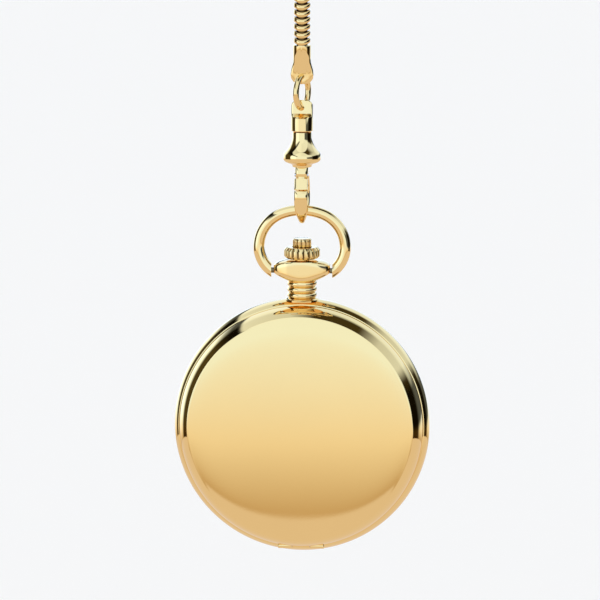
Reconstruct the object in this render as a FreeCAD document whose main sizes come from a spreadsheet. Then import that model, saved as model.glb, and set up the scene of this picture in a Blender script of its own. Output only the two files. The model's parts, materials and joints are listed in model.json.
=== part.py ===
import FreeCAD, Part

import math
import os

import Sketcher
from FreeCAD import Placement, Rotation, Vector

# A hunter-case pocket watch that hangs from a T-bar by a short snake chain and a swivel hook.
# Millimetres. +Z is up, the front lid faces -Y, and the origin is the middle of the T-bar.
# The watch's own places are given from the middle of its case, and its levels are along Y.

DRIVING_SIZES = {
    # T-bar and rings
    "tbar_length": 26.0, "tbar_radius": 1.2, "tbar_tip_radius": 1.15,
    "tbar_hub_radius": 1.6, "tbar_hub_half": 2.0,
    "tbar_eye_drop": 2.4, "tbar_eye_radius": 1.55, "tbar_eye_wire": 0.45,
    "ring_radius": 2.9, "ring_wire": 0.55, "ring_play": 0.2,
    # end caps and chain
    "cap_length": 7.2, "cap_radius": 1.6, "cap_flare": 2.1, "cap_hole_radius": 1.1,
    "cap_bar": 0.7, "cap_tongue": 0.4,
    "link_pitch": 1.29, "link_height": 1.14, "link_radius": 1.55, "link_bore": 1.12,
    "link_mouth": 0.98, "link_lip": 0.12, "link_pocket": 0.75, "link_neck": 0.88,
    "link_neck_length": 0.38, "link_spigot": 1.05, "link_spigot_bore": 0.5,
    # swivel
    "eye_height": 5.8, "eye_radius": 2.0, "eye_shank": 0.8, "eye_head": 1.3,
    "bell_height": 6.6, "bell_radius": 3.45, "bell_neck": 1.75, "hook_length": 17.0,
    "hook_half_width": 1.25, "hook_half_depth": 3.5, "hook_wire": 1.15,
    "gate_pin_radius": 0.35, "gate_half_width": 0.6,
    # bow and pendant, heights above the middle of the case
    "bow_wire": 1.05, "bow_top": 39.75, "bow_side": 7.92, "bow_side_height": 33.0,
    "bow_top_arc": 10.66, "bow_shoulder_arc": 6.5, "bow_foot_arc": 5.5,
    "bow_corner": 3.639, "bow_corner_height": 39.11, "bow_foot": 4.9, "bow_foot_height": 28.091,
    "bow_gap": 5.6, "bow_pivot_height": 28.6, "bow_pin_radius": 0.5, "bow_play": 0.25,
    "pendant_half_width": 5.35, "pendant_neck": 2.35,
    "pendant_bead": 2.72, "pendant_bead_pitch": 1.1, "pendant_bore": 1.5,
    "crown_base": 30.85, "crown_top": 33.0, "crown_radius": 3.3,
    "button_base": 32.6, "button_top": 34.6, "button_radius": 1.72,
    "sleeve_radius": 1.4, "sleeve_end": 26.5, "crown_pocket": 31.7,
    "stem_radius": 0.7, "stem_bore": 0.44, "stem_end": 9.4, "rod_radius": 0.36,
    # case
    "case_radius": 23.5, "band_face_radius": 22.6, "band_bore": 20.9, "band_half": 2.3,
    "band_bulge": 3.389, "lid_radius": 22.5, "lid_lip": 0.2, "lid_height": 3.75,
    "lid_edge_radius": 20.75, "lid_edge_drop": 0.44, "lid_turn_radius": 21.55, "lid_turn_drop": 1.41,
    "lid_edge_arc": 4.5, "lid_side_arc": 6.2, "lid_wall": 0.45, "lid_seam": 0.05,
    "hinge_radius": 0.5, "hinge_drop": 22.3, "hinge_pin_radius": 0.26,
    "hinge_half_length": 4.2, "hinge_middle_half": 1.6, "hinge_clearance": 0.08,
    # dial side, levels along Y
    "crystal_front": -3.55, "crystal_back": -2.92, "crystal_radius": 19.2,
    "dial_front": -1.75, "dial_back": -1.35, "dial_radius": 20.2,
    # movement, levels along Y
    "plate_front": -1.3, "plate_back": 0.55, "plate_radius": 17.5,
    "bridge_front": 1.95, "bridge_back": 2.65, "ring_inner": 17.6,
    "click_front": 2.72, "click_back": 3.05,
    "seconds_drop": 8.5, "pivot_radius": 0.1, "arbor_radius": 0.25, "jewel_radius": 0.5,
    "jewel_hole": 0.13,
}
LINKS = 7
RING_YAW = 18.0
CROWN_FLUTES = 18
BUTTON_FLUTES = 12

doc = FreeCAD.newDocument("pocket_watch")
pieces = []


# ---------------------------------------------------------------- sizes and drawing helpers

class Size:
    """A length from the sheet, or one worked out from such lengths: its number and its expression."""

    def __init__(self, value, text):
        self.value = value
        self.text = text

    def __add__(self, other):
        return Size(self.value + size(other).value, f"({self.text} + {size(other).text})")

    def __sub__(self, other):
        return Size(self.value - size(other).value, f"({self.text} - {size(other).text})")

    def __mul__(self, number):
        return Size(self.value * number, f"({self.text} * {number})")

    def __neg__(self):
        return Size(-self.value, f"(0 - {self.text})")

    def __radd__(self, other):
        return size(other) + self

    def __rsub__(self, other):
        return size(other) - self

    __rmul__ = __mul__


def size(x):
    return x if isinstance(x, Size) else Size(float(x), f"({float(x)})")


class Sheet:
    """The spreadsheet of driving sizes; each size is an attribute, such as mm.case_radius."""

    def __init__(self, sizes):
        cells = doc.addObject("Spreadsheet::Sheet", "Sizes")
        for row, (name, value) in enumerate(sizes.items(), start=1):
            cells.set(f"A{row}", name)
            cells.set(f"B{row}", str(value))
            cells.setAlias(f"B{row}", name)
            setattr(self, name, Size(value, f"Sizes.{name}"))
        doc.recompute()


mm = Sheet(DRIVING_SIZES)


def bind(thing, name, value):
    """Sets one property, and keeps it bound to the sheet."""
    thing.setExpression(name, size(value).text)


def put(thing, place, turn=None):
    """Places an object, with each coordinate bound to the sheet."""
    place = [size(p) for p in place]
    thing.Placement = Placement(Vector(*[p.value for p in place]), turn or Rotation())
    for axis, p in zip("xyz", place):
        thing.setExpression(f".Placement.Base.{axis}", p.text)
    return thing


def piece(thing, label):
    """Names a finished piece; its label names its file."""
    thing.Label = label
    pieces.append(thing)
    return thing


def add(kind, sizes, place=(0, 0, 0), turn=None):
    """A Part primitive with its sizes bound to the sheet."""
    thing = doc.addObject(kind, kind.split("::")[1])
    for name, value in sizes.items():
        bind(thing, name, value)
    return put(thing, place, turn)


TURNS = {
    "X": Rotation(Vector(0, 1, 0), 90),
    "Y": Rotation(Vector(1, 0, 0), -90),
    "Z": Rotation(),
}


def rod(axis, radius, start, end, across=(0, 0)):
    """A cylinder along one axis from start to end; across is its place on the other two axes, in order."""
    place = list(across)
    place.insert("XYZ".index(axis), start)
    return add("Part::Cylinder", {"Radius": radius, "Height": size(end) - start}, place, TURNS[axis])


def block(low, high):
    """A box between two corners."""
    span = [size(b) - a for a, b in zip(low, high)]
    return add("Part::Box", {"Length": span[0], "Width": span[1], "Height": span[2]}, low)


def ball(radius, place):
    return add("Part::Sphere", {"Radius": radius}, place)


def fuse(*things):
    out = doc.addObject("Part::MultiFuse", "Fused")
    out.Shapes = list(things)
    return out


def cut(base, *tools):
    out = doc.addObject("Part::Cut", "CutOut")
    out.Base = base
    out.Tool = tools[0] if len(tools) == 1 else fuse(*tools)
    return out


def common(a, b):
    out = doc.addObject("Part::Common", "Shared")
    out.Base, out.Tool = a, b
    return out


def plane_of(body, role):
    return [f for f in body.Origin.OriginFeatures if f.Role == role][0]


def new_body(name):
    return doc.addObject("PartDesign::Body", name)


def arc_between(a, b, radius):
    """The minor arc from a to b: a positive radius turns left, a negative one turns right."""
    left = radius > 0
    start, end = (a, b) if left else (b, a)
    chord = end - start
    half = chord.Length / 2
    rise = math.sqrt(max(radius * radius - half * half, 0))
    normal = Vector(-chord.y, chord.x, 0).normalize()
    centre = start + chord * 0.5 + normal * rise
    first = math.atan2(start.y - centre.y, start.x - centre.x)
    last = math.atan2(end.y - centre.y, end.x - centre.x)
    if last < first:
        last += 2 * math.pi
    circle = Part.Circle(centre, Vector(0, 0, 1), abs(radius))
    return Part.ArcOfCircle(circle, first, last), left


def axis_radius(a, b):
    """The radius of the circle through a and b whose middle is on the vertical axis."""
    middle = (b.x * b.x + b.y * b.y - a.x * a.x - a.y * a.y) / (2 * (b.y - a.y))
    return math.hypot(a.x, a.y - middle)


DOME, DISH = "dome", "dish"


def sketch(body, plane, outline, closed=True):
    """A sketch of lines and arcs. Each corner is (u, v), or (u, v, arc) where an arc arrives at it.

    The arc is a radius, positive where the path turns left. DOME (turning left) and DISH (turning
    right) are arcs whose middle lies on the vertical axis, so they revolve into part of a ball.
    """
    drawn = body.newObject("Sketcher::SketchObject", "Outline")
    drawn.AttachmentSupport = [(plane_of(body, plane), "")]
    drawn.MapMode = "FlatFace"
    corners = [[x if x in (DOME, DISH) else size(x) for x in corner] for corner in outline]
    points = [Vector(c[0].value, c[1].value, 0) for c in corners]
    count = len(points)
    edges = count if closed else count - 1
    ends = []
    for i in range(edges):
        j = (i + 1) % count
        if len(corners[j]) == 3 and corners[j][2] in (DOME, DISH):
            reach = axis_radius(points[i], points[j]) * (1 if corners[j][2] == DOME else -1)
            arc, left = arc_between(points[i], points[j], reach)
            drawn.addGeometry(arc)
            ends.append((1, 2) if left else (2, 1))
            drawn.addConstraint(Sketcher.Constraint("PointOnObject", i, 3, -2))
        elif len(corners[j]) == 3:
            arc, left = arc_between(points[i], points[j], corners[j][2].value)
            drawn.addGeometry(arc)
            ends.append((1, 2) if left else (2, 1))
            radius = corners[j][2] if left else -corners[j][2]
            held = drawn.addConstraint(Sketcher.Constraint("Radius", i, radius.value))
            drawn.setExpression(f"Constraints[{held}]", radius.text)
        else:
            drawn.addGeometry(Part.LineSegment(points[i], points[j]))
            ends.append((1, 2))
    for i in range(edges if closed else edges - 1):
        j = (i + 1) % edges
        drawn.addConstraint(Sketcher.Constraint("Coincident", i, ends[i][1], j, ends[j][0]))
    for i in range(count):
        edge, end = (i, ends[i][0]) if i < edges else (edges - 1, ends[edges - 1][1])
        for kind, at in (("DistanceX", corners[i][0]), ("DistanceY", corners[i][1])):
            held = drawn.addConstraint(Sketcher.Constraint(kind, -1, 1, edge, end, at.value))
            drawn.setExpression(f"Constraints[{held}]", at.text)
    return drawn


def turned(outline, axis, place=(0, 0, 0)):
    """A solid of revolution about Y or Z; the outline gives (radius, height along the axis)."""
    body = new_body("Turned")
    feature = body.newObject("PartDesign::Revolution", "Revolution")
    feature.Profile = sketch(body, {"Y": "XY_Plane", "Z": "XZ_Plane"}[axis], outline)
    feature.ReferenceAxis = (feature.Profile[0], ["V_Axis"])
    feature.Angle = 360
    return put(body, place)


def slab(outline, plane, thickness, place=(0, 0, 0), turn=None):
    """An outline with a thickness, half to each side of its plane."""
    body = new_body("Slab")
    feature = body.newObject("PartDesign::Pad", "Pad")
    feature.Profile = sketch(body, plane, outline)
    feature.Midplane = True
    bind(feature, "Length", thickness)
    return put(body, place, turn)


def fluted(body, radius, base, top, count, flute):
    """Cuts flutes round a turned body: one round pocket on its edge, repeated about Z."""
    doc.recompute()
    ring = body.newObject("Sketcher::SketchObject", "Flute")
    ring.AttachmentSupport = [(plane_of(body, "XY_Plane"), "")]
    ring.MapMode = "FlatFace"
    edge = size(radius) + flute * 0.35
    ring.addGeometry(Part.Circle(Vector(edge.value, 0, 0), Vector(0, 0, 1), flute))
    ring.addConstraint(Sketcher.Constraint("Radius", 0, flute))
    ring.addConstraint(Sketcher.Constraint("PointOnObject", 0, 3, -1))
    held = ring.addConstraint(Sketcher.Constraint("DistanceX", -1, 1, 0, 3, edge.value))
    ring.setExpression(f"Constraints[{held}]", edge.text)
    bind(ring, ".AttachmentOffset.Base.z", base)
    pocket = body.newObject("PartDesign::Pocket", "FlutePocket")
    pocket.Profile = ring
    bind(pocket, "Length", size(top) - base)
    pocket.Reversed = True
    doc.recompute()
    pattern = body.newObject("PartDesign::PolarPattern", "Flutes")
    pattern.Originals = [pocket]
    pattern.Axis = (plane_of(body, "Z_Axis"), [""])
    pattern.Angle = 360
    pattern.Occurrences = count
    body.Tip = pattern
    doc.recompute()
    return body


# ---------------------------------------------------------------- places along the hanging line

bar_half = mm.cap_bar * 0.5
ring_reach = bar_half + mm.ring_play + mm.ring_wire
upper_ring_top = -mm.tbar_eye_drop - mm.tbar_eye_radius + mm.tbar_eye_wire \
    + 0.05 + mm.ring_wire
upper_ring_z = upper_ring_top - mm.ring_radius
upper_cap_top = upper_ring_z - mm.ring_radius + ring_reach + bar_half
chain_top = upper_cap_top - mm.cap_length
chain_bottom = chain_top - mm.link_pitch * LINKS
lower_cap_bar = chain_bottom - mm.cap_length + bar_half
lower_ring_z = lower_cap_bar + ring_reach - mm.ring_radius
eye_bar = lower_ring_z - mm.ring_radius + ring_reach
bell_top = eye_bar + bar_half - mm.eye_height
hook_bottom = bell_top - mm.hook_length
bow_rest = hook_bottom + mm.hook_wire + mm.bow_play + mm.bow_wire
case_z = bow_rest - mm.bow_top


def at_case(x, y, z):
    """A place given from the middle of the case."""
    return (x, y, case_z + z)


# ---------------------------------------------------------------- T-bar, rings, caps and chain

def make_t_bar():
    half = mm.tbar_length * 0.5
    bar = rod("X", mm.tbar_radius, -half, half)
    eye = add("Part::Torus", {"Radius1": mm.tbar_eye_radius, "Radius2": mm.tbar_eye_wire},
              (0, 0, -mm.tbar_eye_drop), TURNS["Y"])
    ends = [ball(mm.tbar_tip_radius, (side * half, 0, 0)) for side in (-1, 1)]
    return fuse(bar, rod("X", mm.tbar_hub_radius, -mm.tbar_hub_half, mm.tbar_hub_half), eye, *ends)


def make_ring(height):
    turn = Rotation(Vector(0, 0, 1), 90 - RING_YAW) * TURNS["Y"]
    return add("Part::Torus", {"Radius1": mm.ring_radius, "Radius2": mm.ring_wire},
               (0, 0, height), turn)


def make_cap(way, place):
    """An end cap: a round socket for the chain that flattens to a tongue with a hole. way 1 points down."""
    end = -mm.cap_length * way
    flat = mm.cap_flare
    outside = turned([
        (0, 0), (mm.cap_radius, 0), (mm.cap_radius, mm.cap_length * -0.34 * way),
        (flat, mm.cap_length * -0.68 * way), (mm.cap_flare * 0.95, mm.cap_length * -0.86 * way),
        (0.9, end), (0, end)], "Z", place)
    side = slab([
        (-2, 1 * way), (2, 1 * way), (2, mm.cap_length * -0.36 * way),
        (mm.cap_tongue, mm.cap_length * -0.56 * way), (mm.cap_tongue, end - way),
        (-mm.cap_tongue, end - way), (-mm.cap_tongue, mm.cap_length * -0.56 * way),
        (-2, mm.cap_length * -0.36 * way)], "YZ_Plane", 8, place)
    hole_z = place[2] + end + (mm.cap_bar + mm.cap_hole_radius) * way
    hole = rod("Y", mm.cap_hole_radius, -3, 3, (0, hole_z))
    if way == 1:
        return cut(common(outside, side), hole, turned(pocket(0), "Z", place))
    return fuse(cut(common(outside, side), hole), plug(place))


def neck_outline(low):
    """The spigot below a link: a neck with a lip on its end, which the next link's mouth holds."""
    foot = low - mm.link_neck_length
    return [(mm.link_neck, low), (mm.link_neck, foot), (mm.link_spigot, foot),
            (mm.link_spigot, foot - mm.link_lip)]


def pocket(top):
    """The undercut pocket that holds the lip of the piece above."""
    top = size(top)
    return [(0, top + 0.1), (mm.link_mouth, top + 0.1), (mm.link_mouth, top - mm.link_lip),
            (mm.link_bore, top - mm.link_lip), (mm.link_bore, top - mm.link_pocket),
            (0, top - mm.link_pocket)]


def plug(place):
    outline = neck_outline((mm.link_pitch - mm.link_height) * 0.5)
    foot = outline[-1][1]
    return turned([(0, 0.3), (mm.link_neck, 0.3)] + outline[1:] + [(0, foot)], "Z", place)


def make_link(number):
    """One chain link: a ring whose lipped spigot is held in the undercut pocket of the next."""
    top = chain_top - mm.link_pitch * number - (mm.link_pitch - mm.link_height) * 0.5
    tall, wide = mm.link_height, mm.link_radius
    foot = neck_outline(-tall)
    return turned([
        (mm.link_mouth, 0), (wide - 0.15, 0), (wide, -0.15), (wide, 0.15 - tall), (wide - 0.15, -tall)]
        + foot + [(mm.link_spigot_bore, foot[-1][1]), (mm.link_spigot_bore, -mm.link_pocket),
                  (mm.link_bore, -mm.link_pocket), (mm.link_bore, -mm.link_lip),
                  (mm.link_mouth, -mm.link_lip)], "Z", (0, 0, top))


piece(make_t_bar(), "t_bar")
piece(make_ring(upper_ring_z), "upper_jump_ring")
piece(make_cap(-1, (0, 0, chain_top)), "upper_end_cap")
for number in range(LINKS):
    piece(make_link(number), f"chain_link_{number + 1}")
piece(make_cap(1, (0, 0, chain_bottom)), "lower_end_cap")
piece(make_ring(lower_ring_z), "lower_jump_ring")


# ---------------------------------------------------------------- swivel

def make_swivel_eye():
    top = mm.eye_height
    outside = turned([
        (0, 0.06), (mm.eye_radius, 0.06), (mm.eye_radius, top - 1.0),
        (mm.eye_radius - 0.8, top, 1.1), (0, top)], "Z", (0, 0, bell_top))
    side = slab([
        (-3, -1), (3, -1), (3, 2.2), (mm.cap_tongue, 3.1), (mm.cap_tongue, top + 1),
        (-mm.cap_tongue, top + 1), (-mm.cap_tongue, 3.1), (-3, 2.2)],
        "YZ_Plane", 8, (0, 0, bell_top))
    window_top = bell_top + top - mm.cap_bar
    window = block((-1.2, -3, window_top - 2.2), (1.2, 3, window_top))
    shank = rod("Z", mm.eye_shank, bell_top - 2.3, bell_top + 0.5)
    head = rod("Z", mm.eye_head, bell_top - 2.9, bell_top - 2.25)
    return fuse(cut(common(outside, side), window), shank, head)


def make_hook():
    """The swivel's bell with the hook below it, open at the front above its tip."""
    bell = turned([
        (mm.eye_shank + 0.06, 0), (mm.bell_neck - 0.2, 0), (mm.bell_neck, -0.2), (mm.bell_neck, -1.2),
        (mm.bell_radius - 0.2, -3.9, 5.0), (mm.bell_radius, -4.4), (mm.bell_radius, -5.2),
        (mm.bell_neck - 0.2, -mm.bell_height, -2.3), (0, -mm.bell_height), (0, -3.3),
        (mm.eye_head + 0.15, -3.3), (mm.eye_head + 0.15, -2.15), (mm.eye_shank + 0.06, -2.15)],
        "Z", (0, 0, bell_top))
    deep = mm.hook_half_depth
    inner = deep - mm.hook_wire
    low = -mm.hook_length
    side = slab([
        (1.4, -6.2), (1.5, -7.0), (deep, -11.6, -7.0), (0, low, -4.9), (-deep, -11.6, -4.9),
        (0.45 - deep, -10.55), (-inner, -10.85), (0.15 - inner, -11.9),
        (0, low + mm.hook_wire, 3.3), (inner, -11.6, 3.9), (0.7, -8.3, 6.0), (-1.9, -8.3),
        (-1.9, -7.0), (-1.4, -6.2)], "YZ_Plane", mm.hook_half_width * 2, (0, 0, bell_top))
    front = slab([
        (mm.hook_half_width, -6), (-mm.hook_half_width, -6), (-mm.hook_half_width, -13.0),
        (-1.12, -14.6), (-0.92, -15.7), (-0.45, -16.6), (0, low), (0.45, -16.6), (0.92, -15.7),
        (1.12, -14.6), (mm.hook_half_width, -13.0)], "XZ_Plane", 12, (0, 0, bell_top))
    slot = block((-mm.gate_half_width - 0.08, -3, bell_top - 9),
                 (mm.gate_half_width + 0.08, -0.45, bell_top - 6.95))
    pin_hole = rod("X", mm.gate_pin_radius, -2, 2, GATE_PIN)
    return cut(fuse(bell, common(side, front)), slot, pin_hole)


GATE_PIN = (-1.3, bell_top - 7.85)


def make_gate():
    """The sprung lever that shuts the hook's mouth."""
    tongue = slab([
        (-0.62, -7.6), (-0.75, -8.5), (-2.3, -10.68), (-2.95, -10.4), (-1.95, -7.6), (-1.3, -7.12)],
        "YZ_Plane", mm.gate_half_width * 2, (0, 0, bell_top))
    blade = slab([
        (-1.1, -8.5), (-2.3, -10.68), (-2.95, -10.4), (-2.2, -8.5)],
        "YZ_Plane", mm.hook_half_width * 2, (0, 0, bell_top))
    hole = rod("X", mm.gate_pin_radius + 0.04, -2, 2, GATE_PIN)
    return cut(fuse(tongue, blade), hole)


def make_gate_pin():
    return rod("X", mm.gate_pin_radius, -mm.hook_half_width, mm.hook_half_width, GATE_PIN)


piece(make_swivel_eye(), "swivel_eye")
piece(make_hook(), "swivel_hook")
piece(make_gate(), "hook_gate")
piece(make_gate_pin(), "gate_pin")


# ---------------------------------------------------------------- bow, pendant, crown and button

def make_bow():
    """An oval of round wire, cut off flat where its two feet meet the pendant's head."""
    body = new_body("Bow")
    path = sketch(body, "XZ_Plane", [
        (0, mm.bow_top), (mm.bow_corner, mm.bow_corner_height, -mm.bow_top_arc),
        (mm.bow_side, mm.bow_side_height, -mm.bow_shoulder_arc),
        (mm.bow_foot, mm.bow_foot_height, -mm.bow_foot_arc)], closed=False)
    section = body.newObject("Sketcher::SketchObject", "Wire")
    section.AttachmentSupport = [(plane_of(body, "YZ_Plane"), "")]
    section.MapMode = "FlatFace"
    section.addGeometry(Part.Circle(Vector(0, mm.bow_top.value, 0), Vector(0, 0, 1), mm.bow_wire.value))
    for kind, value in (("Radius", mm.bow_wire), ("DistanceY", mm.bow_top)):
        where = (0, value.value) if kind == "Radius" else (-1, 1, 0, 3, value.value)
        held = section.addConstraint(Sketcher.Constraint(kind, *where))
        section.setExpression(f"Constraints[{held}]", value.text)
    section.addConstraint(Sketcher.Constraint("PointOnObject", 0, 3, -2))
    doc.recompute()
    pipe = body.newObject("PartDesign::AdditivePipe", "HalfBow")
    pipe.Profile = section
    pipe.Spine = (path, ["Edge1", "Edge2", "Edge3"])
    doc.recompute()
    both = body.newObject("PartDesign::Mirrored", "WholeBow")
    both.Originals = [pipe]
    both.MirrorPlane = (plane_of(body, "YZ_Plane"), [""])
    body.Tip = both
    put(body, at_case(0, 0, 0))
    gap = block(at_case(-mm.bow_gap, -3, 24), at_case(mm.bow_gap, 3, 36))
    holes = [bow_pin(side, mm.bow_pin_radius + 0.06, mm.bow_gap + 1.15) for side in (-1, 1)]
    return cut(body, gap, *holes)


def bow_pin(side, radius, end):
    start, end = (mm.pendant_half_width - 1.6, end) if side > 0 else (-size(end), 1.6 - mm.pendant_half_width)
    return rod("X", radius, start, end, (0, case_z + mm.bow_pivot_height))


def make_pendant():
    """The neck with its beads and the boat-shaped head, bored through for the stem."""
    neck, bead, pitch = mm.pendant_neck, mm.pendant_bead, mm.pendant_bead_pitch
    base = size(23.5)
    outline = [(mm.pendant_bore, 20.9), (1.95, 20.9), (1.95, 22.2), (3.05, 22.2), (3.05, 23.5), (neck, base)]
    for number in range(3):
        outline.append((neck, base + pitch * (number + 1), 0.594))
    outline += [(2.6, 26.85), (5.6, 28.3), (5.6, 29.6), (3.4, 30.55), (mm.pendant_bore, 30.75)]
    solid = turned(outline, "Z", at_case(0, 0, 0))
    wide, deep = mm.pendant_half_width, 1.5
    boat = slab([(-wide, -deep), (wide, -deep, 11.27), (wide, deep), (-wide, deep, 11.27)],
                "XY_Plane", 30, at_case(0, 0, 25))
    holes = [bow_pin(side, mm.bow_pin_radius, 7) for side in (-1, 1)]
    band = turned([(0, -2.35), (22.6, -2.35), (22.6, -2.3), (22.6, 2.3, mm.band_bulge), (22.6, 2.35),
                   (0, 2.35)], "Y", at_case(0, 0, 0))
    spigot = turned([(mm.pendant_bore, 20.95), (1.9, 20.95), (1.9, 23.6), (mm.pendant_bore, 23.6)],
                    "Z", at_case(0, 0, 0))
    sides = [block(at_case(-4, low, 20), at_case(4, low + 2, 22.7)) for low in (-4.2, 2.2)]
    return fuse(cut(common(solid, boat), band, *sides, *holes), spigot)


def make_crown():
    top, base, deep = mm.crown_top, mm.crown_base, mm.crown_pocket
    body = turned([
        (mm.stem_radius, mm.sleeve_end), (mm.sleeve_radius, mm.sleeve_end), (mm.sleeve_radius, base),
        (mm.crown_radius - 0.35, base), (mm.crown_radius, base + 0.45),
        (mm.crown_radius, top - 0.55, 3.0), (mm.crown_radius - 0.5, top), (1.8, top), (1.8, deep),
        (1.1, deep), (1.1, 29.0), (mm.stem_radius, 29.0)], "Z")
    fluted(body, mm.crown_radius, base, top, CROWN_FLUTES, 0.42)
    return put(body, at_case(0, 0, 0))


def make_button():
    top, base = mm.button_top, mm.button_base
    body = turned([
        (0, 15.6), (mm.rod_radius, 15.6), (mm.rod_radius, base), (mm.button_radius, base),
        (mm.button_radius, top - 0.3), (mm.button_radius - 0.25, top - 0.05), (0, top, DOME)], "Z")
    fluted(body, mm.button_radius, base, top, BUTTON_FLUTES, 0.28)
    return put(body, at_case(0, 0, 0))


def make_stem():
    """The winding stem: hollow above for the button's rod, grooved for the setting lever."""
    wide = mm.stem_radius
    return turned([
        (0, mm.stem_end), (0.4, mm.stem_end), (wide, 10.0), (wide, 12.9), (0.4, 12.9), (0.4, 13.4),
        (wide, 13.4), (wide, 14.3), (1.2, 14.3), (1.2, 16.2), (wide, 16.2), (wide, 29.0),
        (mm.stem_bore, 29.0), (mm.stem_bore, 14.6), (0, 14.6)], "Z", at_case(0, 0, 0))


def make_button_spring():
    return turned([(0.55, 29.05), (0.95, 29.05), (0.95, 31.6), (0.55, 31.6)], "Z", at_case(0, 0, 0))


piece(make_bow(), "bow")
piece(make_pendant(), "pendant")
piece(bow_pin(-1, mm.bow_pin_radius, mm.bow_gap + 1.0), "bow_pin_left")
piece(bow_pin(1, mm.bow_pin_radius, mm.bow_gap + 1.0), "bow_pin_right")
piece(make_crown(), "crown")
piece(make_button(), "push_button")
piece(make_button_spring(), "button_spring")
piece(make_stem(), "winding_stem")


# ---------------------------------------------------------------- case, lids and glass

hinge_level = mm.band_half + mm.lid_seam


def hinge_rod(face, radius, start, end):
    return rod("X", radius, start, end, (hinge_level * face, case_z - mm.hinge_drop))


def make_case_middle():
    half, bore, edge = mm.band_half, mm.band_bore, mm.band_face_radius
    band = turned([(bore, -half), (edge, -half), (edge, half, mm.band_bulge), (bore, half)],
                  "Y", at_case(0, 0, 0))
    gap, wide = mm.hinge_middle_half + mm.hinge_clearance, mm.hinge_half_length
    knuckles, notches = [], []
    for face in (-1, 1):
        knuckles += [hinge_rod(face, mm.hinge_radius, gap, wide), hinge_rod(face, mm.hinge_radius, -wide, -gap)]
        notches += [hinge_rod(face, mm.hinge_radius + mm.hinge_clearance, -gap, gap),
                    hinge_rod(face, mm.hinge_pin_radius, -6, 6)]
    tube = rod("Z", 1.9, case_z + 18, case_z + 24)
    catch_slot = block(at_case(-2.3, -3, 21.0), at_case(2.3, -1.93, 22.1))
    return cut(fuse(band, *knuckles), *notches, tube, catch_slot)


def make_lid(face):
    """A shallow domed shell, hinged at its foot: face -1 is the front, 1 the back.

    The dome is almost flat out to a crisp edge, and a rounded side falls steeply from there to the lip.
    """
    level = hinge_level
    lip, top, wide, wall = level + mm.lid_lip, level + mm.lid_height, mm.lid_radius, mm.lid_wall
    edge, edge_level = mm.lid_edge_radius, top - mm.lid_edge_drop
    turn, turn_level = mm.lid_turn_radius, top - mm.lid_turn_drop
    outwards, inwards = (DOME, DISH) if face > 0 else (DISH, DOME)
    shell = turned([
        (wide, level * face), (wide, lip * face), (turn, turn_level * face, mm.lid_side_arc * face),
        (edge, edge_level * face, mm.lid_edge_arc * face), (0, top * face, outwards),
        (0, (top - wall) * face), (edge - 0.2, (edge_level - wall) * face, inwards),
        (turn - 0.38, (turn_level - 0.24) * face, (wall - mm.lid_edge_arc) * face),
        (wide - wall, lip * face, (wall - mm.lid_side_arc) * face), (wide - wall, level * face)],
        "Y", at_case(0, 0, 0))
    middle, wider = mm.hinge_middle_half, mm.hinge_half_length + mm.hinge_clearance
    loose = mm.hinge_radius + mm.hinge_clearance
    notches = [hinge_rod(face, loose, middle, wider), hinge_rod(face, loose, -wider, -middle)]
    knuckle = hinge_rod(face, mm.hinge_radius, -middle, middle)
    return cut(fuse(cut(shell, *notches), knuckle), hinge_rod(face, mm.hinge_pin_radius + 0.04, -6, 6))


def make_hinge_pin(face):
    return hinge_rod(face, mm.hinge_pin_radius, -mm.hinge_half_length, mm.hinge_half_length)


def make_bezel():
    return turned([
        (mm.band_bore, -1.25), (mm.band_bore, -2.85), (20.2, -3.35), (19.22, -3.35),
        (19.22, mm.crystal_back), (18.6, mm.crystal_back), (18.6, -2.55), (20.3, -1.8),
        (20.3, -1.25)], "Y", at_case(0, 0, 0))


def make_crystal():
    edge = mm.crystal_radius
    return turned([(0, mm.crystal_back), (edge, mm.crystal_back), (edge, mm.crystal_front + 0.35),
                   (0, mm.crystal_front, DISH)], "Y", at_case(0, 0, 0))


def make_catch():
    nose = block(at_case(-2.2, -2.85, 21.45), at_case(2.2, -1.98, 21.85))
    return fuse(nose, block(at_case(-1.2, -2.2, 21.38), at_case(1.2, -1.98, 21.5)))


piece(make_case_middle(), "case_middle")
piece(make_lid(-1), "front_lid")
piece(make_hinge_pin(-1), "front_hinge_pin")
piece(make_lid(1), "back_cover")
piece(make_hinge_pin(1), "back_hinge_pin")
piece(make_catch(), "lid_catch")
piece(make_bezel(), "bezel")
piece(make_crystal(), "crystal")


# ---------------------------------------------------------------- dial, hands and motion works

# Each wheel's place across the case (x, z), pitch radius, teeth, and levels along Y.
TRAIN = {
    "barrel": (-6.1, 5.1, 7.0, 84, 1.0, 1.85),
    "center_wheel": (0.0, 0.0, 5.6, 80, 0.68, 0.86),
    "third_wheel": (3.76, -5.06, 4.5, 75, 1.1, 1.25),
    "fourth_wheel": (0.0, -8.5, 3.8, 80, 1.5, 1.65),
    "escape_wheel": (-3.9, -10.0, 2.3, 15, 1.08, 1.22),
}
PINIONS = {
    "center_wheel": (1.0, 12, 0.95, 1.85),
    "third_wheel": (0.7, 10, 0.66, 0.98),
    "fourth_wheel": (0.6, 10, 1.0, 1.36),
    "escape_wheel": (0.38, 8, 1.4, 1.75),
}
PALLET = (-6.4, -8.5)
BALANCE = (-9.6, -7.0)
MINUTE_WHEEL = (2.12, 2.12)
CROWN_WHEEL = (0.0, 11.5)
SHORT = 0.02


def disc(radius, front, back, x=0, z=0):
    """A cylinder along Y between two levels, at a place across the case."""
    return rod("Y", radius, front, back, (x, case_z + z))


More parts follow.
